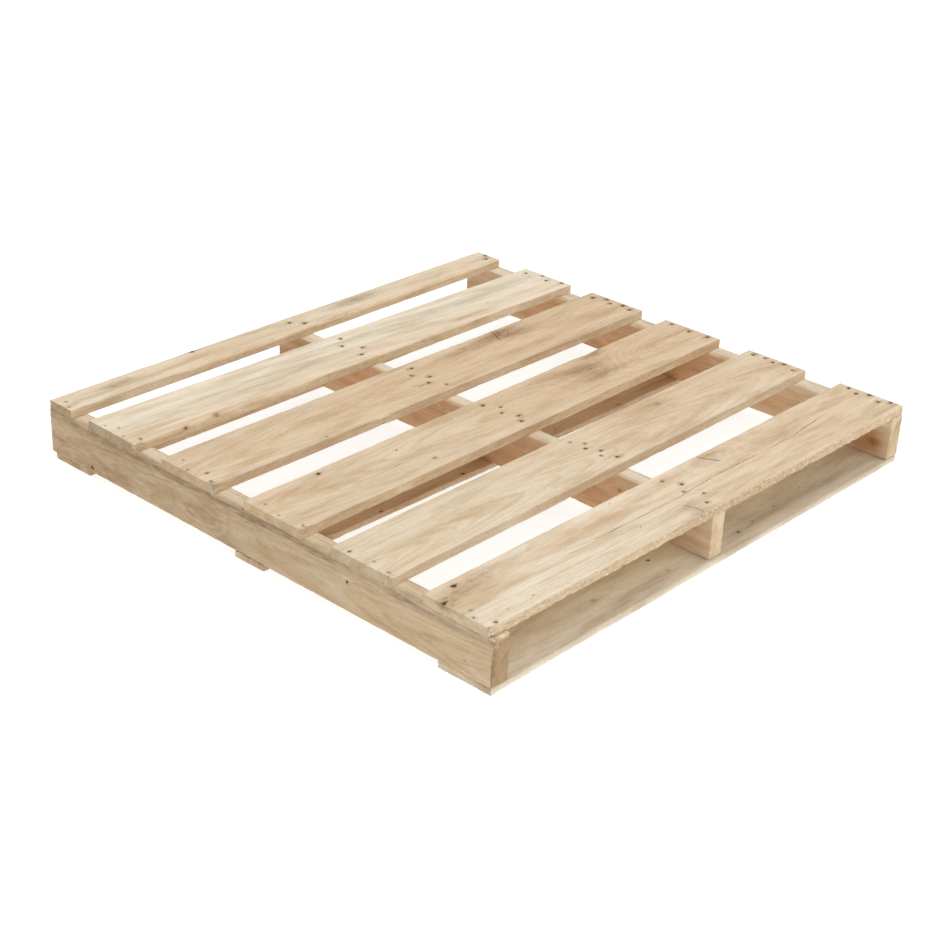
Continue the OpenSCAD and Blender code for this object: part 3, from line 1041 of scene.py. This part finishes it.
RING_TINT = (0.84, 0.73, 0.59, 1)
STREAK_TINT = (0.94, 0.91, 0.86, 1)
FIBRE_TINT = (0.93, 0.90, 0.86, 1)
PORE_TINT = (0.72, 0.61, 0.50, 1)
# Also darkens the painted shade band under the left stringer's top edge.
STAIN_AND_SHADE_TINT = (0.50, 0.44, 0.38, 1)
BLOTCH_TINT = (0.83, 0.77, 0.69, 1)
HALO_TINT = (0.80, 0.64, 0.47, 1)
END_TINT = (0.92, 0.87, 0.79, 1)
DIRT_TINT = (0.56, 0.50, 0.43, 1)
SPECKLE_TINT = (0.70, 0.58, 0.45, 1)


def wood_material(name, look):
    g = Graph(name + "_wood")
    grain = g.vector("grain")
    ring = g.split(grain)[1]
    knot, stain_and_shade, warm = g.split(g.vector("marks_and_painted_shade"))
    wear, hollow, end = g.split(g.vector("wear"))
    side, frayed, dirt = g.split(g.vector("sawn"))

    broad = g.noise(grain, BROAD_STREAK, 4.0, 0.55)
    streak = g.noise(grain, STREAK, 3.0, 0.6)
    fibre = g.noise(grain, FIBRE, 2.0, 0.6)
    pore = g.noise(grain, PORE, 1.0)
    blotch = g.noise(grain, BLOTCH, 3.0, 0.6)
    mottle = g.noise(grain, MOTTLE, 3.0, 0.65)
    speckle = g.noise(grain, SPECKLE, 3.0, 0.65)
    fuzz = g.noise(grain, FUZZ, 2.0, 0.6)
    phase = g.plus(g.math("DIVIDE", ring, RING_WIDTH), g.times(g.noise(grain, RING_DRIFT), 2.2))
    share = g.math("FRACT", phase)
    line = g.times(g.rise(share, 0.35, 0.92), g.math("SUBTRACT", 1.0, g.rise(share, 0.93, 1.0)))

    colour = g.tint(g.rise(broad, 0.3, 0.72), look.pale, look.deep, "MIX")
    colour = g.tint(g.times(line, look.ring), colour, RING_TINT)
    colour = g.tint(g.rise(streak, 0.4, 0.75, 0.45 + look.ring), colour, STREAK_TINT)
    colour = g.tint(g.rise(fibre, 0.35, 0.75, 0.5 + look.ring), colour, FIBRE_TINT)
    colour = g.tint(g.rise(pore, 0.6, 0.72, 0.5), colour, PORE_TINT)
    colour = g.tint(g.rise(speckle, 0.68, 0.78, 0.5), colour, PORE_TINT)
    colour = g.tint(g.rise(blotch, 0.4, 0.72), colour, BLOTCH_TINT)
    # Tone patches: the wood's own warmer tone, and painted shade on the faces under the deck and on the lower
    # front board's top.
    colour = g.tint(g.times(warm, g.plus(blotch, 0.45)), colour, look.warm)
    colour = g.tint(g.rise(fuzz, 0.6, 0.74, 0.3), colour, RAW_EDGE, "MIX")
    # Stains, and the painted shade in the band under the left stringer's top edge.
    colour = g.tint(g.times(stain_and_shade, g.plus(g.rise(mottle, 0.3, 0.7, 0.5), 0.4)), colour, STAIN_AND_SHADE_TINT)
    colour = g.tint(g.times(side, g.plus(mottle, 0.4)), colour, look.side)
    rough = g.plus(g.times(g.plus(side, end), 0.5), g.times(frayed, 0.4))
    uneven = g.times(rough, g.rise(mottle, 0.3, 0.65, 1.3))
    colour = g.tint(g.times(uneven, g.rise(speckle, 0.5, 0.72, 1.2)), colour, SPECKLE_TINT)
    colour = g.tint(g.times(frayed, g.rise(fuzz, 0.5, 0.66, 0.4)), colour, RAW_EDGE, "MIX")
    colour = g.tint(g.rise(knot, 0.03, 0.5), colour, HALO_TINT)
    colour = g.tint(g.rise(knot, 0.42, 0.56), colour, KNOT_RIM, "MIX")
    colour = g.tint(g.rise(knot, 0.6, 0.85, 0.8), colour, KNOT_BROWN, "MIX")
    colour = g.tint(g.times(wear, g.rise(mottle, 0.35, 0.6, 0.55)), colour, RAW_EDGE, "MIX")
    colour = g.tint(end, colour, END_TINT)
    colour = g.tint(g.times(dirt, g.plus(mottle, 0.5)), colour, DIRT_TINT)
    # Painted shade in cracks, chips, nail pockets and at splinter roots, and the dark lines of scars.
    colour = g.tint(hollow, colour, CRACK_DARK, "MIX")
    g.feed(g.shader["Base Color"], colour)

    g.feed(g.shader["Roughness"], g.plus(g.times(fibre, 0.25), 0.58))
    g.feed(g.shader["Specular IOR Level"], 0.3)
    height = g.plus(g.times(fibre, 0.5), g.times(line, 0.3))
    height = g.math("SUBTRACT", height, g.rise(pore, 0.6, 0.72, 0.5))
    height = g.plus(height, g.times(g.noise(grain, SAW_MARK), 0.25))
    height = g.plus(height, g.times(rough, g.times(speckle, 2.5)))
    g.bump(height, 0.0004)
    return g.material


def steel_material():
    g = Graph("nail_steel")
    place = g.node("TexCoord")["Object"]
    dark = g.split(g.vector("age"))[0]
    cloud = g.noise(place, (0.004, 0.004, 0.004), 3.0, 0.6)
    speck = g.noise(place, (0.0011, 0.0011, 0.0011), 2.0)
    colour = g.tint(g.rise(cloud, 0.35, 0.65), STEEL_DARK, STEEL_WORN, "MIX")
    colour = g.tint(g.rise(speck, 0.48, 0.66), colour, RUST, "MIX")
    colour = g.tint(g.rise(g.plus(dark, g.times(cloud, 0.3)), 0.25, 0.8), STEEL_PALE, colour, "MIX")
    g.feed(g.shader["Base Color"], colour)
    g.feed(g.shader["Metallic"], 0.25)
    g.feed(g.shader["Specular IOR Level"], 0.25)
    g.feed(g.shader["Roughness"], g.rise(speck, 0.3, 0.7, 0.8))
    g.bump(speck, 0.0002)
    return g.material


# ---- Studio ----

CAMERA_PLACE = (-2.4928, -2.1729, 1.6621)
CAMERA_HEADING = 48.705
CAMERA_TILT = 27.206
CAMERA_ROLL = 2.753
CAMERA_LENS = 71.2
FLOOR_SIDE = 60.0
FLOOR_GLOW = 0.81
KEY_FROM = (0.10, -0.30, 0.85)
KEY_STRENGTH = 2.2
KEY_ANGLE = 45.0
SKY_STRENGTH = 0.27
HORIZON_STRENGTH = 1.1
HORIZON_RISE = {"From Min": 0.25, "From Max": 0.6, "To Min": HORIZON_STRENGTH, "To Max": SKY_STRENGTH}


def add_camera():
    heading, tilt = math.radians(CAMERA_HEADING), math.radians(CAMERA_TILT)
    flat = math.cos(tilt)
    ahead = Vector((math.sin(heading) * flat, math.cos(heading) * flat, -math.sin(tilt)))
    camera = add_object("camera", bpy.data.cameras.new("camera"))
    camera.data.lens = CAMERA_LENS
    camera.location = CAMERA_PLACE
    camera.rotation_mode = "QUATERNION"
    roll = Quaternion((0, 0, 1), math.radians(CAMERA_ROLL))
    camera.rotation_quaternion = ahead.to_track_quat("-Z", "Y") @ roll
    bpy.context.scene.camera = camera


def add_floor():
    half = FLOOR_SIDE / 2
    corners = [(-half, -half, 0), (half, -half, 0), (half, half, 0), (-half, half, 0)]
    mesh = bpy.data.meshes.new("floor")
    mesh.from_pydata(corners, [], [(0, 1, 2, 3)])
    g = Graph("floor")
    g.feed(g.shader["Base Color"], FLOOR_PALE)
    g.feed(g.shader["Roughness"], 0.9)
    g.feed(g.shader["Specular IOR Level"], 0.1)
    g.feed(g.shader["Emission Color"], FLOOR_LIGHT)
    g.feed(g.shader["Emission Strength"], FLOOR_GLOW)
    mesh.materials.append(g.material)
    add_object("floor", mesh)


def add_sky(tree):
    """A soft sky that is palest near the horizon."""
    direction = tree.nodes.new("ShaderNodeTexCoord").outputs["Generated"]
    parts = tree.nodes.new("ShaderNodeSeparateXYZ")
    tree.links.new(direction, parts.inputs[0])
    fade = tree.nodes.new("ShaderNodeMapRange")
    fade.interpolation_type = "SMOOTHSTEP"
    tree.links.new(parts.outputs["Z"], fade.inputs["Value"])
    for name, value in HORIZON_RISE.items():
        fade.inputs[name].default_value = value
    sky = tree.nodes["Background"].inputs
    sky["Color"].default_value = (1, 1, 1, 1)
    tree.links.new(fade.outputs[0], sky["Strength"])


def add_light():
    key = add_object("key", bpy.data.lights.new("key", "SUN"))
    key.data.energy = KEY_STRENGTH
    key.data.angle = math.radians(KEY_ANGLE)
    key.rotation_mode = "QUATERNION"
    key.rotation_quaternion = Vector(KEY_FROM).to_track_quat("Z", "Y")
    world = bpy.data.worlds.new("sky")
    world.use_nodes = True
    add_sky(world.node_tree)
    bpy.context.scene.world = world
    bpy.context.scene.view_settings.view_transform = "Standard"


# ---- The scene ----

add_camera()
add_floor()
add_light()
steel = steel_material()
for timber in WOOD_NODES:
    make_timber(timber)
    if "board" in timber:
        make_nails(timber, steel)
